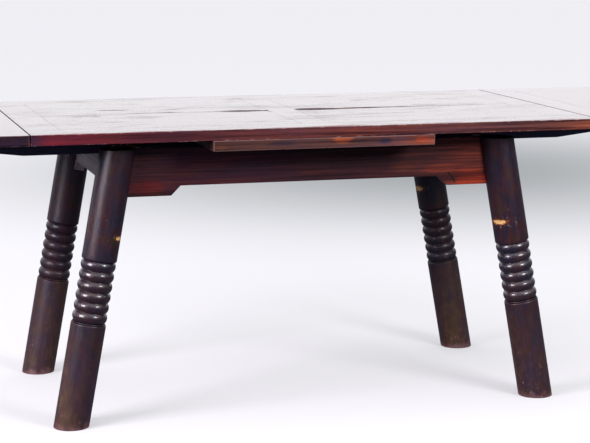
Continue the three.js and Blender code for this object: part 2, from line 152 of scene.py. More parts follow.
class Graph:
    """A node tree, with one short method for each kind of node."""

    def __init__(self, tree):
        self.tree = tree

    def put(self, socket, value):
        if isinstance(value, bpy.types.NodeSocket):
            self.tree.links.new(value, socket)
        elif isinstance(value, tuple) and socket.type == "RGBA":
            socket.default_value = (*value, 1)
        else:
            socket.default_value = value

    def new(self, kind, **values):
        node = self.tree.nodes.new(kind)
        for name, value in values.items():
            setattr(node, name, value)
        return node

    def attribute(self, name, output):
        return self.new("ShaderNodeAttribute", attribute_name=name).outputs[output]

    def place(self):
        return self.new("ShaderNodeTexCoord").outputs["Object"]

    def part(self, vector, axis):
        node = self.new("ShaderNodeSeparateXYZ")
        self.put(node.inputs[0], vector)
        return node.outputs[axis]

    def vector(self, operation, a, b):
        node = self.new("ShaderNodeVectorMath", operation=operation)
        self.put(node.inputs[0], a)
        self.put(node.inputs[1], b)
        return node.outputs["Value" if operation == "LENGTH" else "Vector"]

    def noise(self, vector, scale, detail=4.0, roughness=0.55, distortion=0.0):
        node = self.new("ShaderNodeTexNoise")
        self.put(node.inputs["Vector"], self.vector("MULTIPLY", vector, scale))
        node.inputs["Scale"].default_value = 1.0
        node.inputs["Detail"].default_value = detail
        node.inputs["Roughness"].default_value = roughness
        node.inputs["Distortion"].default_value = distortion
        return node.outputs["Fac"]

    def rings(self, vector, scale, distortion):
        node = self.new("ShaderNodeTexWave", wave_type="BANDS", bands_direction="Y", wave_profile="SIN")
        self.put(node.inputs["Vector"], self.vector("MULTIPLY", vector, scale))
        node.inputs["Scale"].default_value = 1.0
        node.inputs["Distortion"].default_value = distortion
        node.inputs["Detail"].default_value = 2.0
        node.inputs["Detail Scale"].default_value = 0.6
        return node.outputs["Fac"]

    def math(self, operation, a, b):
        node = self.new("ShaderNodeMath", operation=operation)
        self.put(node.inputs[0], a)
        self.put(node.inputs[1], b)
        return node.outputs[0]

    def blend(self, *weighted):
        """The sum of (weight, value) pairs."""
        total = 0.0
        for weight, value in weighted:
            total = self.math("ADD", total, self.math("MULTIPLY", value, weight))
        return total

    def fade(self, factor, a, b):
        """The number a where factor is 0, and b where it is 1."""
        rest = self.math("MULTIPLY", self.math("SUBTRACT", 1.0, factor), a)
        return self.math("ADD", rest, self.math("MULTIPLY", factor, b))

    def step(self, value, low, high, to_low=0.0, to_high=1.0):
        """to_low where value is low, to_high where it is high, and smoothly between."""
        node = self.new("ShaderNodeMapRange", interpolation_type="SMOOTHSTEP")
        self.put(node.inputs["Value"], value)
        node.inputs["From Min"].default_value = low
        node.inputs["From Max"].default_value = high
        node.inputs["To Min"].default_value = to_low
        node.inputs["To Max"].default_value = to_high
        return node.outputs["Result"]

    def edge_wear(self, reach):
        """1 at the outline edges of the board's assembly, falling to 0 at reach from them."""
        from_low = self.attribute("from_low", "Vector")
        from_high = self.attribute("from_high", "Vector")
        inset = self.vector("MINIMUM", from_low, from_high)
        x, y, z = (self.part(inset, axis) for axis in "XYZ")
        between = self.math("MINIMUM", self.math("MAXIMUM", x, y), z)
        return self.step(self.math("MAXIMUM", self.math("MINIMUM", x, y), between), reach, 0.0)

    def mix(self, factor, a, b):
        node = self.new("ShaderNodeMix", data_type="RGBA")
        colour_a, colour_b = (s for s in node.inputs if s.type == "RGBA")
        self.put(node.inputs["Factor"], factor)
        self.put(colour_a, a)
        self.put(colour_b, b)
        return next(s for s in node.outputs if s.type == "RGBA")

    def ramp(self, factor, stops):
        node = self.new("ShaderNodeValToRGB")
        self.put(node.inputs["Fac"], factor)
        elements = node.color_ramp.elements
        while len(elements) < len(stops):
            elements.new(0.5)
        for element, (position, colour) in zip(elements, stops):
            element.position = position
            element.color = (*colour, 1)
        return node.outputs["Color"]

    def crack(self, place, start, end):
        """1 on a thin wandering line from start to end, which are places in metres."""
        wander = self.vector("SUBTRACT", self.noise_vector(place, 60), (0.5, 0.5, 0.5))
        bent = self.vector("ADD", place, self.vector("MULTIPLY", wander, (0.012, 0.0, 0.012)))
        way = Vector(end) - Vector(start)
        offset = self.vector("SUBTRACT", bent, start)
        along = self.new("ShaderNodeVectorMath", operation="DOT_PRODUCT")
        self.put(along.inputs[0], offset)
        along.inputs[1].default_value = way / way.length_squared
        share = self.math("MAXIMUM", self.math("MINIMUM", along.outputs["Value"], 1.0), 0.0)
        nearest = self.vector("MULTIPLY", tuple(way), self.triple(share))
        gap = self.vector("LENGTH", self.vector("SUBTRACT", offset, nearest), (0.0, 0.0, 0.0))
        return self.step(gap, 0.0019, 0.0007)

    def triple(self, value):
        node = self.new("ShaderNodeCombineXYZ")
        for socket in node.inputs:
            self.put(socket, value)
        return node.outputs[0]

    def noise_vector(self, vector, scale):
        node = self.new("ShaderNodeTexNoise")
        self.put(node.inputs["Vector"], vector)
        node.inputs["Scale"].default_value = scale
        return node.outputs["Color"]

    def near(self, place, point, reach):
        """1 at point, falling to 0 at reach, which is its half-widths in metres."""
        offset = self.vector("SUBTRACT", place, point)
        shrunk = self.vector("MULTIPLY", offset, tuple(1 / r for r in reach))
        return self.step(self.vector("LENGTH", shrunk, (0.0, 0.0, 0.0)), 1.0, 0.0)


def new_material(name):
    material = bpy.data.materials.new(name)
    material.use_nodes = True
    return material, Graph(material.node_tree), material.node_tree.nodes["Principled BSDF"]


def finish_shader(g, shader, colour, roughness, height, depth, specular=0.5):
    """Wire a Principled shader: height is a bump of the given depth in metres."""
    bump = g.new("ShaderNodeBump")
    g.put(bump.inputs["Height"], height)
    bump.inputs["Distance"].default_value = depth
    g.put(shader.inputs["Base Color"], colour)
    g.put(shader.inputs["Roughness"], roughness)
    g.put(shader.inputs["Normal"], bump.outputs["Normal"])
    g.put(shader.inputs["Coat Normal"], bump.outputs["Normal"])
    shader.inputs["Coat Roughness"].default_value = 0.1
    shader.inputs["Specular IOR Level"].default_value = specular


# ---- Wood ----

GRAIN_DARK = (0.50, 0.42, 0.50)
GRAIN_LIGHT = (1.45, 1.55, 1.40)
MOTTLE_PURPLE = (0.78, 0.92, 1.30)
MOTTLE_ORANGE = (1.30, 1.15, 0.80)
WORN_WOOD = srgb(150, 112, 96)
PERISHED_POLISH = srgb(58, 62, 62)


def wood_grain(g, grain):
    """The tone, from 0 on dark lines to 1 on light ones, the pores, and the noises that the tone comes from.

    grain is a coordinate in metres, with its X along the fibres.
    """
    fibres = g.noise(grain, (4, 190, 190), detail=5, roughness=0.62)
    bands = g.noise(grain, (1.1, 34, 34), detail=4, roughness=0.6, distortion=0.5)
    figure = g.rings(grain, (0.5, 4, 2), 14.0)
    tone = g.step(g.blend((0.46, fibres), (0.46, bands), (0.08, figure)), 0.37, 0.63)
    pores = g.step(g.noise(grain, (38, 1400, 1400), detail=2, roughness=0.7), 0.58, 0.70)
    return tone, pores, fibres, bands


def stained_wood(
    name, tint=None, tints=None, patches=(), wear=0.3, wear_reach=0.0035, worn_and_sheen=WORN_WOOD, gloss=0.34,
    coat=0.0, specular=0.35, contrast=1.0, mottle=0.6, dulled=(), bared=PERISHED_POLISH, cracks=(),
    relief=0.0005,
):
    """Stained wood.

    tint is its colour, or tints is (axis, low, high, stops) for a colour that drifts along that axis.
    patches are (point, reach, colour, strength). dulled are (point, reach, strength) places where the polish
    has perished, and bared is the colour there. cracks are (start, end) of splits in the surface.
    """
    material, g, shader = new_material(name)
    grain = g.attribute("grain", "Vector")
    place = g.place()
    tone, pores, fibres, bands = wood_grain(g, grain)
    if tints:
        axis, low, high, stops = tints
        tint = g.ramp(g.math("DIVIDE", g.math("SUBTRACT", g.part(place, axis), low), high - low), stops)
    clouds = g.noise(grain, (7, 55, 55), detail=4, roughness=0.6)
    tint = g.mix(g.step(clouds, 0.45, 0.66, 0.0, mottle), tint, g.vector("MULTIPLY", tint, MOTTLE_PURPLE))
    tint = g.mix(g.step(clouds, 0.48, 0.30, 0.0, mottle), tint, g.vector("MULTIPLY", tint, MOTTLE_ORANGE))
    streaks = g.math("SUBTRACT", g.blend((0.9, clouds), (1.3, fibres)), 1.1)
    for point, reach, colour, strength in patches:
        ragged = g.math("ADD", g.near(place, point, reach), streaks)
        inside = g.near(place, point, tuple(1.6 * r for r in reach))
        amount = g.math("MULTIPLY", g.step(ragged, 0.1, 0.75, 0.0, strength), g.step(inside, 0.0, 0.4))
        tint = g.mix(amount, tint, colour)
    low_grain = tuple(1 + (c - 1) * contrast for c in GRAIN_DARK)
    high_grain = tuple(1 + (c - 1) * contrast for c in GRAIN_LIGHT)
    colour = g.mix(tone, g.vector("MULTIPLY", tint, low_grain), g.vector("MULTIPLY", tint, high_grain))
    colour = g.mix(g.math("MULTIPLY", pores, 0.6), colour, g.vector("MULTIPLY", tint, (0.2, 0.18, 0.22)))
    height = g.blend((0.5, fibres), (-0.5, pores), (0.25, bands))
    for start, end in cracks:
        split = g.crack(place, start, end)
        colour = g.mix(split, colour, (0.004, 0.003, 0.003))
        height = g.math("SUBTRACT", height, g.math("MULTIPLY", split, 2.0))

    rub = g.noise(place, (42, 42, 42), detail=6, roughness=0.72)
    rounded = g.attribute("arris", "Fac")
    frayed = g.math("MULTIPLY", g.edge_wear(wear_reach), g.step(rub, 0.52, 0.66, 0.0, 0.8))
    bare = g.math("MULTIPLY", rounded, g.step(rub, 0.66 - 0.36 * wear, 0.80 - 0.36 * wear, 0.0, 0.85))
    bare = g.math("MAXIMUM", bare, g.math("MULTIPLY", frayed, wear))
    # Worn colour on rubbed arrises; on the top's front edge it is partly a painted highlight along the
    # rounded arris.
    colour = g.mix(bare, colour, worn_and_sheen)

    dull = g.noise(grain, (3, 34, 34), detail=4)
    roughness = g.step(dull, 0.3, 0.75, gloss, gloss + (0.04 if coat else 0.16))
    if dulled:
        perished = 0.0
        for point, reach, strength in dulled:
            spot = g.math("MULTIPLY", g.near(place, point, reach), strength)
            perished = g.math("MAXIMUM", perished, spot)
        drift = g.noise(place, (9, 38, 1), detail=5, roughness=0.62, distortion=0.5)
        drift = g.math("MULTIPLY", g.math("SUBTRACT", drift, 0.5), 2.6)
        perished = g.step(g.math("ADD", perished, drift), 0.35, 1.2)
        cloudy = g.noise(place, (4, 16, 1), detail=5, roughness=0.65, distortion=0.8)
        perished = g.math("MAXIMUM", perished, g.step(cloudy, 0.48, 0.72, 0.0, 0.30))
        roughness = g.math("ADD", roughness, g.math("MULTIPLY", perished, 0.5))
        g.put(shader.inputs["Coat Weight"], g.math("MULTIPLY", g.math("SUBTRACT", 1.0, perished), coat))
        colour = g.mix(g.math("MULTIPLY", perished, 0.85), colour, bared)
    finish_shader(g, shader, colour, roughness, height, relief, specular=specular)
    if not dulled:
        shader.inputs["Coat Weight"].default_value = coat
    return material


def turned_wood():
    """The legs' wood: nearly black, with bare scuffs at the foot and where chairs have knocked it."""
    material, g, shader = new_material("turned_wood")
    grain = g.attribute("grain", "Vector")
    knock = g.attribute("knock", "Fac")
    dust = g.attribute("dust", "Fac")
    beaded = g.attribute("beaded", "Fac")
    place = g.place()
    height = g.part(place, "Z")
    tone, pores, fibres, bands = wood_grain(g, grain)
    clouds = g.noise(place, (26, 26, 13), detail=6, roughness=0.68)
    flecks = g.noise(grain, (40, 110, 110), detail=4, roughness=0.65)
    tint = g.ramp(clouds, [(0.36, LEG_OLIVE), (0.45, LEG_RED), (0.54, LEG_PURPLE), (0.64, LEG_NAVY)])
    patches = g.noise(place, (17, 17, 9), detail=6, roughness=0.7)
    # Lighter, browner tones towards the foot.
    lower_tones = g.ramp(patches, [(0.38, LEG_LOWER_OLIVE), (0.50, LEG_LOWER_BROWN), (0.62, LEG_LOWER_PURPLE)])
    lower = g.step(g.math("ADD", height, g.math("MULTIPLY", flecks, 0.2)), 0.42, 0.20)
    tint = g.mix(g.math("MULTIPLY", lower, 0.7), tint, lower_tones)
    tint = g.mix(g.step(flecks, 0.46, 0.66, 0.0, 0.7), tint, g.vector("MULTIPLY", tint, (1.7, 1.45, 1.5)))
    # Painted shade: the beads' colour is pulled towards dark navy to stand in for the darker reflections on
    # their bodies.
    tint = g.mix(g.math("MULTIPLY", beaded, 0.30), tint, LEG_NAVY)
    low_grain = g.vector("MULTIPLY", tint, (0.86, 0.84, 0.88))
    high_grain = g.vector("MULTIPLY", tint, (1.13, 1.13, 1.12))
    colour = g.mix(tone, low_grain, high_grain)
    colour = g.mix(g.math("MULTIPLY", pores, 0.4), colour, g.vector("MULTIPLY", tint, (0.3, 0.3, 0.3)))

    specks = g.step(g.noise(place, (150, 150, 110), detail=3, roughness=0.6), 0.60, 0.68)
    around = g.step(g.math("POWER", knock, 0.14), 0.30, 0.75, 0.0, 1.0)
    scattered = g.step(g.noise(place, (9, 9, 9), detail=2), 0.50, 0.64, 0.0, 0.8)
    low_down = g.step(height, 0.16, 0.03, 0.0, 0.9)
    speckled = g.math("MAXIMUM", around, g.math("MULTIPLY", scattered, g.math("ADD", low_down, 0.25)))
    colour = g.mix(g.math("MULTIPLY", specks, speckled), colour, LEG_SPECK)

    rim_wear = g.noise(place, (48, 48, 70), detail=5, roughness=0.72)
    rubbed = g.math("ADD", height, g.math("MULTIPLY", rim_wear, 0.06))
    colour = g.mix(g.step(rubbed, 0.048, 0.026, 0.0, 0.75), colour, LEG_SCUFF)

    ragged = g.math("SUBTRACT", g.noise(place, (190, 190, 150), detail=5, roughness=0.72), 0.5)
    torn = g.math("ADD", knock, g.math("MULTIPLY", ragged, 1.4))
    colour = g.mix(g.step(torn, 0.18, 0.40), colour, KNOCK_STAIN)
    colour = g.mix(g.step(torn, 0.42, 0.56), colour, KNOCK_SPLINTER)
    colour = g.mix(g.step(torn, 0.54, 0.74), colour, KNOCK_BARE)

    dull = g.noise(grain, (6, 40, 40), detail=4)
    roughness = g.math("ADD", g.step(dull, 0.3, 0.75, 0.30, 0.42), g.step(torn, 0.3, 0.6, 0.0, 0.3))
    roughness = g.math("ADD", roughness, g.math("MULTIPLY", dust, 0.08))
    undusted = g.math("SUBTRACT", 1.0, g.math("MULTIPLY", dust, 0.8))
    gloss = g.math("MULTIPLY", g.step(torn, 0.5, 0.2), undusted)
    gloss = g.math("MULTIPLY", gloss, g.math("ADD", 0.15, g.math("MULTIPLY", beaded, 0.75)))
    g.put(shader.inputs["Coat Weight"], gloss)
    orange_peel = g.noise(place, (260, 260, 260), detail=3)
    relief = g.blend((0.4, fibres), (-0.4, pores), (0.5, orange_peel))
    finish_shader(g, shader, colour, roughness, relief, 0.0003)
    return material


def leg_ends():
    """The legs' sawn ends: dark, open end grain."""
    material, g, shader = new_material("leg_ends")
    place = g.place()
    rings = g.rings(place, (1, 320, 1), 5.0)
    pores = g.noise(place, (900, 900, 900), detail=3)
    colour = g.mix(g.blend((0.5, rings), (0.5, pores)), srgb(14, 12, 18), srgb(34, 26, 32))
    finish_shader(g, shader, colour, g.step(pores, 0.3, 0.7, 0.75, 0.9), pores, 0.0003, specular=0.1)
    return material


def screw_brass():
    material, g, shader = new_material("screw_brass")
    place = g.place()
    tarnish = g.noise(place, (400, 400, 400))
    colour = g.ramp(tarnish, [(0.35, srgb(120, 98, 62)), (0.65, srgb(205, 180, 128))])
    roughness = g.step(tarnish, 0.3, 0.7, 0.55, 0.3)
    finish_shader(g, shader, colour, roughness, g.noise(place, (1500, 1500, 1500), detail=2), 0.00005)
    shader.inputs["Metallic"].default_value = 1.0
    return material


# ---- Stage and light ----

FLOOR_RADIUS = 120
FLOOR_SIDES = 96
PAPER = (0.565, 0.565, 0.585)
PAPER_GLOW = (0.365, 0.365, 0.37)
PAPER_SHADE = (0.36, 0.38, 0.38)
GLOW_SHADE = (0.04, 0.05, 0.05)
SHADED_PAPER = (1.9, 4.0, 0.0)  # where a painted shadow of the table darkens the backdrop behind it
SHADED_REACH = (3.2, 2.9, 1.0)
BACKDROP_SEEN = (0.93, 0.93, 0.97)
SKY_ABOVE = 1.0
SKY_FRONT = 0.20
SKY_BACK = 1.10
BELOW_FRONT = 0.12
BELOW_BACK = 0.13
SKY_TINT = (0.975, 0.965, 1.0)
FRONT_TINT = (0.80, 0.82, 1.0)
BELOW_TINT = (0.70, 0.72, 1.0)
LEFT_SOFTBOX = {
    "place": (-3.7, -1.7, 1.8), "aim": (-0.4, 0, 0.4), "size": (1.7, 1.6), "power": 160,
    "colour": (1.0, 0.90, 1.0),
}
RIGHT_SOFTBOX = {
    "place": (1.9, -3.4, 2.2), "aim": (0.3, 0, 0.5), "size": (1.3, 1.0), "power": 84,
    "colour": (1.0, 1.0, 1.0),
}


def make_floor():
    mesh = bpy.data.meshes.new("floor")
    turns = [2 * math.pi * i / FLOOR_SIDES for i in range(FLOOR_SIDES)]
    rim = [(FLOOR_RADIUS * math.cos(t), FLOOR_RADIUS * math.sin(t), 0) for t in turns]
    mesh.from_pydata(rim, [], [list(range(FLOOR_SIDES))])
    floor = bpy.data.objects.new("floor", mesh)
    bpy.context.scene.collection.objects.link(floor)
    material, g, shader = new_material("floor_paper")
    place = g.place()
    # Painted shadow: round SHADED_PAPER the paper darkens and glows less, standing in for the table's
    # shadow.
    painted_shadow = g.near(place, SHADED_PAPER, SHADED_REACH)
    g.put(shader.inputs["Base Color"], g.mix(painted_shadow, PAPER, PAPER_SHADE))
    g.put(shader.inputs["Emission Color"], g.mix(painted_shadow, PAPER_GLOW, GLOW_SHADE))
    shader.inputs["Emission Strength"].default_value = 1.0
    shader.inputs["Roughness"].default_value = 0.9
    shader.inputs["Specular IOR Level"].default_value = 0.0
    mesh.materials.append(material)
    floor.visible_diffuse = False
    floor.visible_glossy = False


def make_studio():
    """A white studio: bright above and behind the table, and dark towards the front, round the camera."""
    world = bpy.data.worlds.new("studio")
    world.use_nodes = True
    g = Graph(world.node_tree)
    direction = g.new("ShaderNodeTexCoord").outputs["Generated"]
    rise = g.part(direction, "Z")
    behind = g.step(g.part(direction, "Y"), 0.30, 0.75)
    low = g.fade(behind, SKY_FRONT, SKY_BACK)
    below = g.fade(behind, BELOW_FRONT, BELOW_BACK)
    above = g.step(rise, 0.15, 0.65)
    sky = g.fade(above, low, SKY_ABOVE)
    over = g.step(rise, -0.02, 0.0)
    light = g.fade(over, below, sky)
    lit = world.node_tree.nodes["Background"]
    tint = g.mix(g.math("MAXIMUM", behind, above), FRONT_TINT, SKY_TINT)
    g.put(lit.inputs["Color"], g.mix(over, BELOW_TINT, tint))
    g.put(lit.inputs["Strength"], light)
    seen = g.new("ShaderNodeBackground")
    seen.inputs["Color"].default_value = (*BACKDROP_SEEN, 1)
    pick = g.new("ShaderNodeMixShader")
    g.put(pick.inputs[0], g.new("ShaderNodeLightPath").outputs["Is Camera Ray"])
    g.put(pick.inputs[1], lit.outputs[0])
    g.put(pick.inputs[2], seen.outputs[0])
    g.put(world.node_tree.nodes["World Output"].inputs["Surface"], pick.outputs[0])
    bpy.context.scene.world = world
    bpy.context.scene.view_settings.view_transform = "Standard"


def softbox(name, place, aim, size, power, colour):
    data = bpy.data.lights.new(name, "AREA")
    data.shape = "RECTANGLE"
    data.size, data.size_y = size
    data.energy = power
    data.color = colour
    light = bpy.data.objects.new(name, data)
    light.location = place
    light.rotation_euler = (Vector(aim) - Vector(place)).to_track_quat("-Z", "Y").to_euler()
    bpy.context.scene.collection.objects.link(light)


# ---- Legs ----


def leg_radius_at(height):
    """The turned radius at a distance up the leg's axis."""
    low = BEADS_MIDDLE - BEAD_COUNT * BEAD_PITCH / 2
    high = BEADS_MIDDLE + BEAD_COUNT * BEAD_PITCH / 2
    if low <= height <= high:
        rise = BEAD_CREST_RADIUS - BEAD_GROOVE_RADIUS
        half = BEAD_PITCH / 2
        arc = (half * half + rise * rise) / (2 * rise)
        off = (height - low) % BEAD_PITCH - half
        return BEAD_GROOVE_RADIUS + math.sqrt(arc * arc - off * off) - (arc - rise)
    fillet_low = low - FILLET_HEIGHT
    if fillet_low < height < low:
        across = (height - fillet_low) / FILLET_HEIGHT
        return BEAD_GROOVE_RADIUS + (FILLET_RADIUS - BEAD_GROOVE_RADIUS) * math.sin(math.pi * across) ** 0.5
    beyond = height - high if height > high else fillet_low - height
    if beyond < SHOULDER:
        away = 1 - beyond / SHOULDER
        depth = (LEG_RADIUS - BEAD_GROOVE_RADIUS) * 0.5
        return LEG_RADIUS - depth * (1 - math.sqrt(max(0.0, 1 - away * away)))
    return LEG_RADIUS


def spread(low, high, gap):
    """Heights from low up to high, no further apart than gap."""
    count = max(1, math.ceil((high - low) / gap))
    return [low + (high - low) * i / count for i in range(count)]


def leg_heights():
    """Distances up the axis of the leg's rings of points, close together where it is turned or knocked."""
    beads_low = BEADS_MIDDLE - BEAD_COUNT * BEAD_PITCH / 2
    beads_high = BEADS_MIDDLE + BEAD_COUNT * BEAD_PITCH / 2
    fillet_low = beads_low - FILLET_HEIGHT
    heights = spread(LEG_UNCUT[0], fillet_low - SHOULDER, RING_GAP)
    heights += spread(fillet_low - SHOULDER, fillet_low, SHOULDER / 6)
    heights += spread(fillet_low, beads_low, FILLET_HEIGHT / 8)
    for i in range(BEAD_COUNT):
        heights += spread(beads_low + i * BEAD_PITCH, beads_low + (i + 1) * BEAD_PITCH, BEAD_PITCH / 16)
    heights += spread(beads_high, beads_high + SHOULDER, SHOULDER / 6)
    heights += spread(beads_high + SHOULDER, KNOCKED_ZONE[0], RING_GAP)
    heights += spread(*KNOCKED_ZONE, KNOCK_RING_GAP)
    heights += spread(KNOCKED_ZONE[1], LEG_UNCUT[1], RING_GAP)
    return heights + [LEG_UNCUT[1]]


def hit_at(knock, bearing, height):
    """How hard a leg has been hit, from 0 to 1, at a bearing from its front and a distance up it."""
    knock_turn, half_width, half_height, knock_height = knock
    around = LEG_RADIUS * (bearing - knock_turn) / half_width
    along = (height - knock_height) / half_height
    return math.exp(-around * around - along * along)


def whole(mesh):
    return mesh.verts[:] + mesh.edges[:] + mesh.faces[:]


def saw_level(mesh, level, direction):
    """Cut a leg off level, drop what lies beyond in that direction, and cap it. Returns the cap."""
    cut = bmesh.ops.bisect_plane(
        mesh, geom=whole(mesh), plane_co=(0, 0, level), plane_no=(0, 0, direction), clear_outer=True,
    )
    rim = [e for e in cut["geom_cut"] if isinstance(e, bmesh.types.BMEdge)]
    return bmesh.ops.contextual_create(mesh, geom=rim)["faces"]


def finish_leg(side, face, turned, end_grain):
    """A leg turned in fine steps, with its knock, splayed and sawn level as its CAD node is."""
    node = f"leg_{face}_{side}"
    low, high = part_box(node)
    foot = Vector((SIDES[side] * LEG_FOOT_X, (low.y + high.y) / 2, 0))
    lean = Matrix.Translation(foot) @ Matrix.Rotation(-SIDES[side] * LEG_SPLAY, 4, "Y")
    mesh = bmesh.new()
    grain = mesh.verts.layers.float_vector.new("grain")
    knock = mesh.verts.layers.float.new("knock")
    dust = mesh.verts.layers.float.new("dust")
    beaded = mesh.verts.layers.float.new("beaded")
    seed = Vector((3.1 * SIDES[side], 7.7 * FACES[face], 1.3))
    knocked = KNOCKS.get((side, face))
    rings = []
    for height in leg_heights():
        on_beads = 1.0 if abs(height - BEADS_MIDDLE) < BEAD_COUNT * BEAD_PITCH / 2 else 0.0
        ring = []
        for i in range(LEG_SIDES):
            turn = 2 * math.pi * i / LEG_SIDES
            across = Vector((math.cos(turn), math.sin(turn), 0))
            bearing = math.atan2(-SIDES[side] * across.x, -across.y)
            hit = hit_at(knocked, bearing, height) if knocked else 0.0
            radius = leg_radius_at(height) - KNOCK_DEPTH * hit - LEG_INSET
            vert = mesh.verts.new(lean @ (across * radius + Vector((0, 0, height))))
            vert[grain] = (height + seed.x, across.x * radius + seed.y, across.y * radius)
            vert[knock] = hit
            vert[dust] = 1.0 if face == "back" else 0.0
            vert[beaded] = on_beads
            ring.append(vert)
        rings.append(ring)
    for lower, upper in zip(rings, rings[1:]):
        for i in range(LEG_SIDES):
            j = (i + 1) % LEG_SIDES
            mesh.faces.new((lower[i], lower[j], upper[j], upper[i]))
    mesh.faces.new(list(reversed(rings[0])))
    mesh.faces.new(rings[-1])
    foot_rim = [e for f in saw_level(mesh, 0.0, -1) for e in f.edges]
    bmesh.ops.bevel(
        mesh, geom=foot_rim, offset=LEG_FOOT_ARRIS, segments=ARRIS_ROWS, profile=0.5, affect="EDGES",
    )
    saw_level(mesh, high.z, 1)
    smooth_but_sharp(mesh)
    mesh.normal_update()
    for f in mesh.faces:
        if abs(f.normal.z) > 0.9:
            f.material_index = 1
    return add_piece(node, mesh, [turned, end_grain])


# ---- Boards made from the CAD nodes ----


def smooth_but_sharp(mesh):
    for f in mesh.faces:
        f.smooth = True
    for e in mesh.edges:
        if e.is_manifold and e.calc_face_angle() > SHARP_EDGE:
            e.smooth = False


def add_piece(node, mesh, materials):
    data = bpy.data.meshes.new(f"{node}_finished")
    mesh.to_mesh(data)
    mesh.free()
    piece = bpy.data.objects.new(f"{node}_finished", data)
    bpy.context.scene.collection.objects.link(piece)
    for material in materials:
        data.materials.append(material)
    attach(piece, NODES[node]["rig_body"])
    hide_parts(node)
    return piece


def sharp_edges(mesh):
    return [e for e in mesh.edges if e.is_manifold and e.calc_face_angle() > SHARP_EDGE]


def on_outline(edge, low, high):
    """Whether an edge lies on an edge of the box from low to high."""
    def planes(v):
        return {(i, c) for i in range(3) for c in (low[i], high[i]) if abs(v.co[i] - c) < 1e-4}
    return len(planes(edge.verts[0]) & planes(edge.verts[1])) >= 2


def round_arrises(mesh, outline, outer):
    """Round the edges on the outline box by outer and the rest by INNER_ARRIS. Returns the rubbed faces."""
    low, high = outline
    rubbed = [e for e in sharp_edges(mesh) if on_outline(e, low, high)]
    made = []
    if rubbed:
        made = bmesh.ops.bevel(
            mesh, geom=rubbed, offset=outer, segments=ARRIS_ROWS, profile=0.5, affect="EDGES",
            clamp_overlap=True,
        )["faces"]
    bmesh.ops.bevel(
        mesh, geom=sharp_edges(mesh), offset=INNER_ARRIS, segments=1, profile=0.5, affect="EDGES",
        clamp_overlap=True,
    )
    return {f for f in made if f.is_valid}


def cut_along(mesh, axis, gaps):
    """Cut the whole mesh by planes across an axis, at the given places."""
    normal = Vector((0, 0, 0))
    normal[axis] = 1
    for place in gaps:
        bmesh.ops.bisect_plane(mesh, geom=whole(mesh), plane_co=normal * place, plane_no=normal)


def finish_board(node, materials, along, outline, outer=OUTER_ARRIS, sink=0.0, nicks=0.4):
    """The CAD node's own shape, with rounded and rubbed arrises.

    along is the axis of its grain, outline is the box of the top, leaf or board that it is part of, and
    materials are those of its sides and of its polished top.
    """
    mesh = bmesh.new()
    mesh.from_mesh(NODES[node].data)
    bmesh.ops.remove_doubles(mesh, verts=mesh.verts, dist=1e-5)
    bmesh.ops.dissolve_limit(mesh, angle_limit=math.radians(1), verts=mesh.verts, edges=mesh.edges)
    grain = mesh.verts.layers.float_vector.new("grain")
    from_low = mesh.verts.layers.float_vector.new("from_low")
    from_high = mesh.verts.layers.float_vector.new("from_high")
    arris = mesh.loops.layers.float.new("arris")
    for f in round_arrises(mesh, outline, outer):
        for corner in f.loops:
            corner[arris] = 1.0
    axis = "xyz".index(along)
    low = min(v.co[axis] for v in mesh.verts)
    high = max(v.co[axis] for v in mesh.verts)
    cut_along(mesh, axis, spread(low, high, STATION)[1:])
    top = outline[1].z
    if sink:
        cut_along(mesh, 1, [-cut for cut in SINK_CUTS])
    mesh.normal_update()
    seed = Vector((len(node) * 1.7, sum(map(ord, node)) * 0.13 % 5, 0))  # each board's own stretch of grain
    for v in mesh.verts:
        a, b, c = {0: (0, 1, 2), 1: (1, 0, 2), 2: (2, 0, 1)}[axis]
        v[grain] = (v.co[a] + seed.x, v.co[b] + seed.y, v.co[c])
        v[from_low] = v.co - outline[0]
        v[from_high] = outline[1] - v.co
        if any(corner[arris] > 0.5 for corner in v.link_loops):
            dent = max(0.0, noise.noise(v.co * SMALL_DENTS + seed) - 0.28) * 3
            dent += max(0.0, noise.noise(v.co * LARGE_DENTS + seed))
            v.co -= v.normal * min(DENT_LIMIT, DENT_DEPTH * dent * nicks)
        if sink and v.co.z > top - SINK_SKIN and v.co.y > -PANEL_SINK_REACH:
            fall = (1 + v.co.y / PANEL_SINK_REACH) ** 2
            reach = SINK_REACH_LEFT if v.co.x < SINK_DEEPEST else SINK_REACH_RIGHT
            away = (v.co.x - SINK_DEEPEST) / reach
            wander = 0.7 + 0.6 * noise.noise(Vector((v.co.x * 5, 0, 0)) + seed)
            v.co.z -= sink * fall * wander * (SINK_LEAST + (1 - SINK_LEAST) * math.exp(-away * away))
    for f in mesh.faces:
        f.smooth = True
        if len(materials) > 1 and f.normal.z > 0.8:
            f.material_index = 1
    piece = add_piece(node, mesh, materials)
    weights = piece.modifiers.new("weights", "WEIGHTED_NORMAL")
    weights.keep_sharp = True
    weights.weight = 100
    return piece


# ---- The table's woods ----

LEG_OLIVE = srgb(50, 39, 27)
LEG_RED = srgb(54, 26, 30)
LEG_PURPLE = srgb(42, 28, 42)
LEG_NAVY = srgb(28, 26, 42)
LEG_LOWER_OLIVE = srgb(84, 64, 42)
LEG_LOWER_BROWN = srgb(68, 46, 44)
LEG_LOWER_PURPLE = srgb(56, 44, 58)
LEG_SPECK = srgb(150, 122, 112)
LEG_SCUFF = srgb(140, 100, 100)
KNOCK_STAIN = srgb(112, 58, 34)
KNOCK_SPLINTER = srgb(206, 132, 60)
KNOCK_BARE = srgb(248, 200, 128)

LEAF_EDGE = srgb(50, 30, 44)
# Lopers: near-black wood lifted and tinted navy, painting in the blue of the shade under the top.
LOPER_PAINTED_SHADE_BLUE = srgb(58, 58, 86)
# End rails' pale grey: the wood lightened as painted sheen, standing in for the light on and reflected from
# their outer faces.
END_RAIL_PAINTED_SHEEN = srgb(146, 134, 144)
RAW_WOOD = srgb(150, 112, 76)
RUBBED_RAIL = srgb(150, 100, 106)

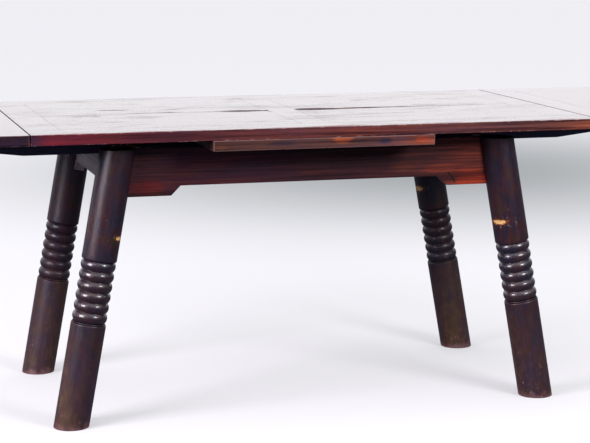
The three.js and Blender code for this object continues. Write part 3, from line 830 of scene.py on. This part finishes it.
POLISH_TINTS = ("X", -1.19, 1.19, [
    (0.00, srgb(76, 56, 56)), (0.50, srgb(86, 52, 52)), (1.00, srgb(98, 50, 52)),
])
FRONT_EDGE_TINTS = ("X", -0.738, 0.738, [
    (0.00, srgb(50, 24, 40)), (0.03, srgb(86, 22, 34)), (0.12, srgb(80, 24, 32)), (0.24, srgb(70, 28, 33)),
    (0.42, srgb(84, 38, 38)), (0.60, srgb(96, 44, 42)), (0.82, srgb(92, 47, 44)), (0.93, srgb(100, 52, 46)),
    (1.00, srgb(124, 62, 50)),
])
APRON_TINTS = ("X", -0.52, 0.52, [
    (0.00, srgb(64, 28, 34)), (0.30, srgb(60, 24, 36)), (0.60, srgb(64, 26, 34)), (0.80, srgb(94, 40, 38)),
    (0.90, srgb(118, 46, 36)), (1.00, srgb(104, 42, 32)),
])
APRON_PATCHES = (
    ((0.44, APRON_FACE, 0.600), (0.085, 0.05, 0.042), srgb(152, 48, 26), 1.0),
    ((0.350, APRON_FACE, 0.626), (0.070, 0.05, 0.018), srgb(128, 50, 34), 0.8),
    ((0.250, APRON_FACE, 0.634), (0.050, 0.05, 0.016), srgb(104, 44, 30), 0.7),
    ((-0.43, APRON_FACE, 0.600), (0.070, 0.05, 0.050), srgb(84, 22, 24), 0.9),
)
APRON_CRACKS = (
    ((0.372, APRON_FACE, 0.616), (0.386, APRON_FACE, 0.599)),
    ((0.386, APRON_FACE, 0.599), (0.391, APRON_FACE, 0.590)),
)
CENTRE_TINTS = ("X", -0.289, 0.289, [
    (0.00, srgb(60, 34, 30)), (0.30, srgb(70, 40, 38)), (0.70, srgb(76, 44, 44)), (0.84, srgb(92, 52, 54)),
    (0.93, srgb(116, 54, 42)), (1.00, srgb(130, 64, 50)),
])
CENTRE_PATCHES = (
    ((0.045, TABLE_FRONT, 0.726), (0.040, 0.02, 0.016), srgb(140, 66, 38), 1.0),
    ((0.255, TABLE_FRONT, 0.722), (0.030, 0.02, 0.012), srgb(160, 62, 36), 0.8),
    ((-0.270, TABLE_FRONT, 0.716), (0.025, 0.02, 0.010), srgb(88, 46, 32), 0.6),
    ((0.155, TABLE_FRONT, 0.720), (0.030, 0.02, 0.012), srgb(48, 34, 56), 0.9),
    ((-0.120, TABLE_FRONT, 0.722), (0.060, 0.02, 0.010), srgb(44, 28, 40), 0.8),
)
LEAF_PATCHES = (
    ((-0.7425, TABLE_FRONT, 0.742), (0.004, 0.02, 0.024), srgb(96, 54, 46), 0.8),
)
PANEL_DULLED = (
    ((-0.56, -0.05, TABLE_TOP), (0.18, 0.18, 0.05), 0.45),
    ((-0.51, -0.01, TABLE_TOP), (0.13, 0.050, 0.05), 0.60),
    ((-0.60, -0.11, TABLE_TOP), (0.12, 0.050, 0.05), 0.70),
    ((-0.50, -0.19, TABLE_TOP), (0.14, 0.045, 0.05), 0.70),
    ((-0.34, 0.01, TABLE_TOP), (0.14, 0.035, 0.05), 0.80),
    ((-0.11, 0.00, TABLE_TOP), (0.11, 0.045, 0.05), 1.50),
    ((0.10, 0.00, TABLE_TOP), (0.12, 0.048, 0.05), 1.70),
    ((0.26, 0.00, TABLE_TOP), (0.20, 0.026, 0.05), 1.20),
    ((0.28, 0.21, TABLE_TOP), (0.14, 0.040, 0.05), 0.75),
    ((-0.61, 0.38, TABLE_TOP), (0.12, 0.035, 0.05), 0.80),
    ((-0.44, 0.10, TABLE_TOP), (0.12, 0.035, 0.05), 0.70),
    ((-0.28, 0.09, TABLE_TOP), (0.10, 0.035, 0.05), 0.75),
)
RAIL_DULLED = (
    ((0.0, TABLE_FRONT, TABLE_TOP), (2.4, 0.045, 0.05), 0.80),
)

POLISH = {
    "tints": POLISH_TINTS, "gloss": 0.22, "coat": 1.0, "specular": 0.5, "contrast": 0.3, "relief": 0.00006,
}
# Front edge of the top: its pale pinkish-white arrises are partly real wear and partly a painted highlight.
top_edge = stained_wood(
    "top_edge", tints=FRONT_EDGE_TINTS, wear=0.4, worn_and_sheen=srgb(188, 148, 144), contrast=1.6, mottle=0.9,
    specular=0.2,
)
top_rail_polish = stained_wood("top_rail_polish", wear=0.2, dulled=RAIL_DULLED, bared=RUBBED_RAIL, **POLISH)
top_panel_polish = stained_wood("top_panel_polish", wear=0.2, dulled=PANEL_DULLED, **POLISH)
leaf_edge = stained_wood(
    "leaf_edge", LEAF_EDGE, patches=LEAF_PATCHES, wear=0.6, worn_and_sheen=srgb(128, 84, 78), contrast=1.3,
    specular=0.2,
)
leaf_polish = stained_wood("leaf_polish", wear=0.3, **POLISH)
centre_board_wood = stained_wood(
    "centre_board_wood", tints=CENTRE_TINTS, patches=CENTRE_PATCHES, wear=1.0, wear_reach=0.0015,
    worn_and_sheen=srgb(132, 98, 94), gloss=0.4, contrast=1.5, specular=0.2,
)
apron_wood = stained_wood(
    "apron_wood", tints=APRON_TINTS, patches=APRON_PATCHES, wear=0.15, gloss=0.38, contrast=1.4, mottle=0.9,
    specular=0.25, cracks=APRON_CRACKS,
)
# The end rails' pale colour is painted sheen for the light on their outer faces.
end_rail_wood = stained_wood("end_rail_wood", END_RAIL_PAINTED_SHEEN, wear=0.2, gloss=0.5, contrast=0.8, mottle=0.3)
loper_wood = stained_wood("loper_wood", LOPER_PAINTED_SHADE_BLUE, wear=0.2, gloss=0.45, contrast=0.8, mottle=0.3)
raw_wood = stained_wood("raw_wood", RAW_WOOD, wear=0.0, gloss=0.6, contrast=0.5, mottle=0.3)
leg_wood = turned_wood()
leg_end_grain = leg_ends()
brass = screw_brass()

# ---- The table ----

make_camera()
make_floor()
make_studio()
softbox("left_softbox", **LEFT_SOFTBOX)
softbox("right_softbox", **RIGHT_SOFTBOX)


def box_of(nodes):
    """The box round several nodes, as its low and high corners."""
    corners = [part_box(node) for node in nodes]
    low = Vector(min(c[0][i] for c in corners) for i in range(3))
    high = Vector(max(c[1][i] for c in corners) for i in range(3))
    return low, high


for side in SIDES:
    for face in FACES:
        finish_leg(side, face, leg_wood, leg_end_grain)

top_nodes = [node for node in NODES if node.startswith("top_")]
top_box = box_of(top_nodes)
for node in top_nodes:
    surface = top_panel_polish if "panel" in node else top_rail_polish
    along = "x" if "panel" in node or "rail" in node else "y"
    sunk = PANEL_SINK if "panel" in node and node.endswith("front") else 0.0
    finish_board(node, [top_edge, surface], along, top_box, sink=sunk)

for side in SIDES:
    leaf_nodes = [f"{side}_leaf_{kind}" for kind in (
        "rail_front", "rail_back", "panel_front", "panel_back", "end_inner", "end_outer",
    )]
    leaf_box = box_of(leaf_nodes)
    for node in leaf_nodes:
        finish_board(node, [leaf_edge, leaf_polish], "y" if "_end_" in node else "x", leaf_box)
    for face in FACES:
        loper = f"{side}_leaf_loper_{face}"
        stop = f"{side}_leaf_stop_{face}"
        block = f"corner_block_{face}_{side}"
        finish_board(loper, [loper_wood], "x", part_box(loper))
        finish_board(stop, [raw_wood], "x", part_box(stop))
        finish_board(block, [raw_wood], "z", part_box(block))
    finish_board(f"end_rail_{side}", [end_rail_wood], "y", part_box(f"end_rail_{side}"))
    finish_board(f"cross_rail_{side}", [raw_wood], "y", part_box(f"cross_rail_{side}"))

for face in FACES:
    finish_board(f"apron_{face}", [apron_wood], "x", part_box(f"apron_{face}"))
    finish_board(f"locating_dowel_{face}", [raw_wood], "z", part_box(f"locating_dowel_{face}"))
finish_board("centre_board", [centre_board_wood], "x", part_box("centre_board"), outer=0.0018)

for node, part in NODES.items():
    if "screw" in node:
        part.data.materials.clear()
        part.data.materials.append(brass)
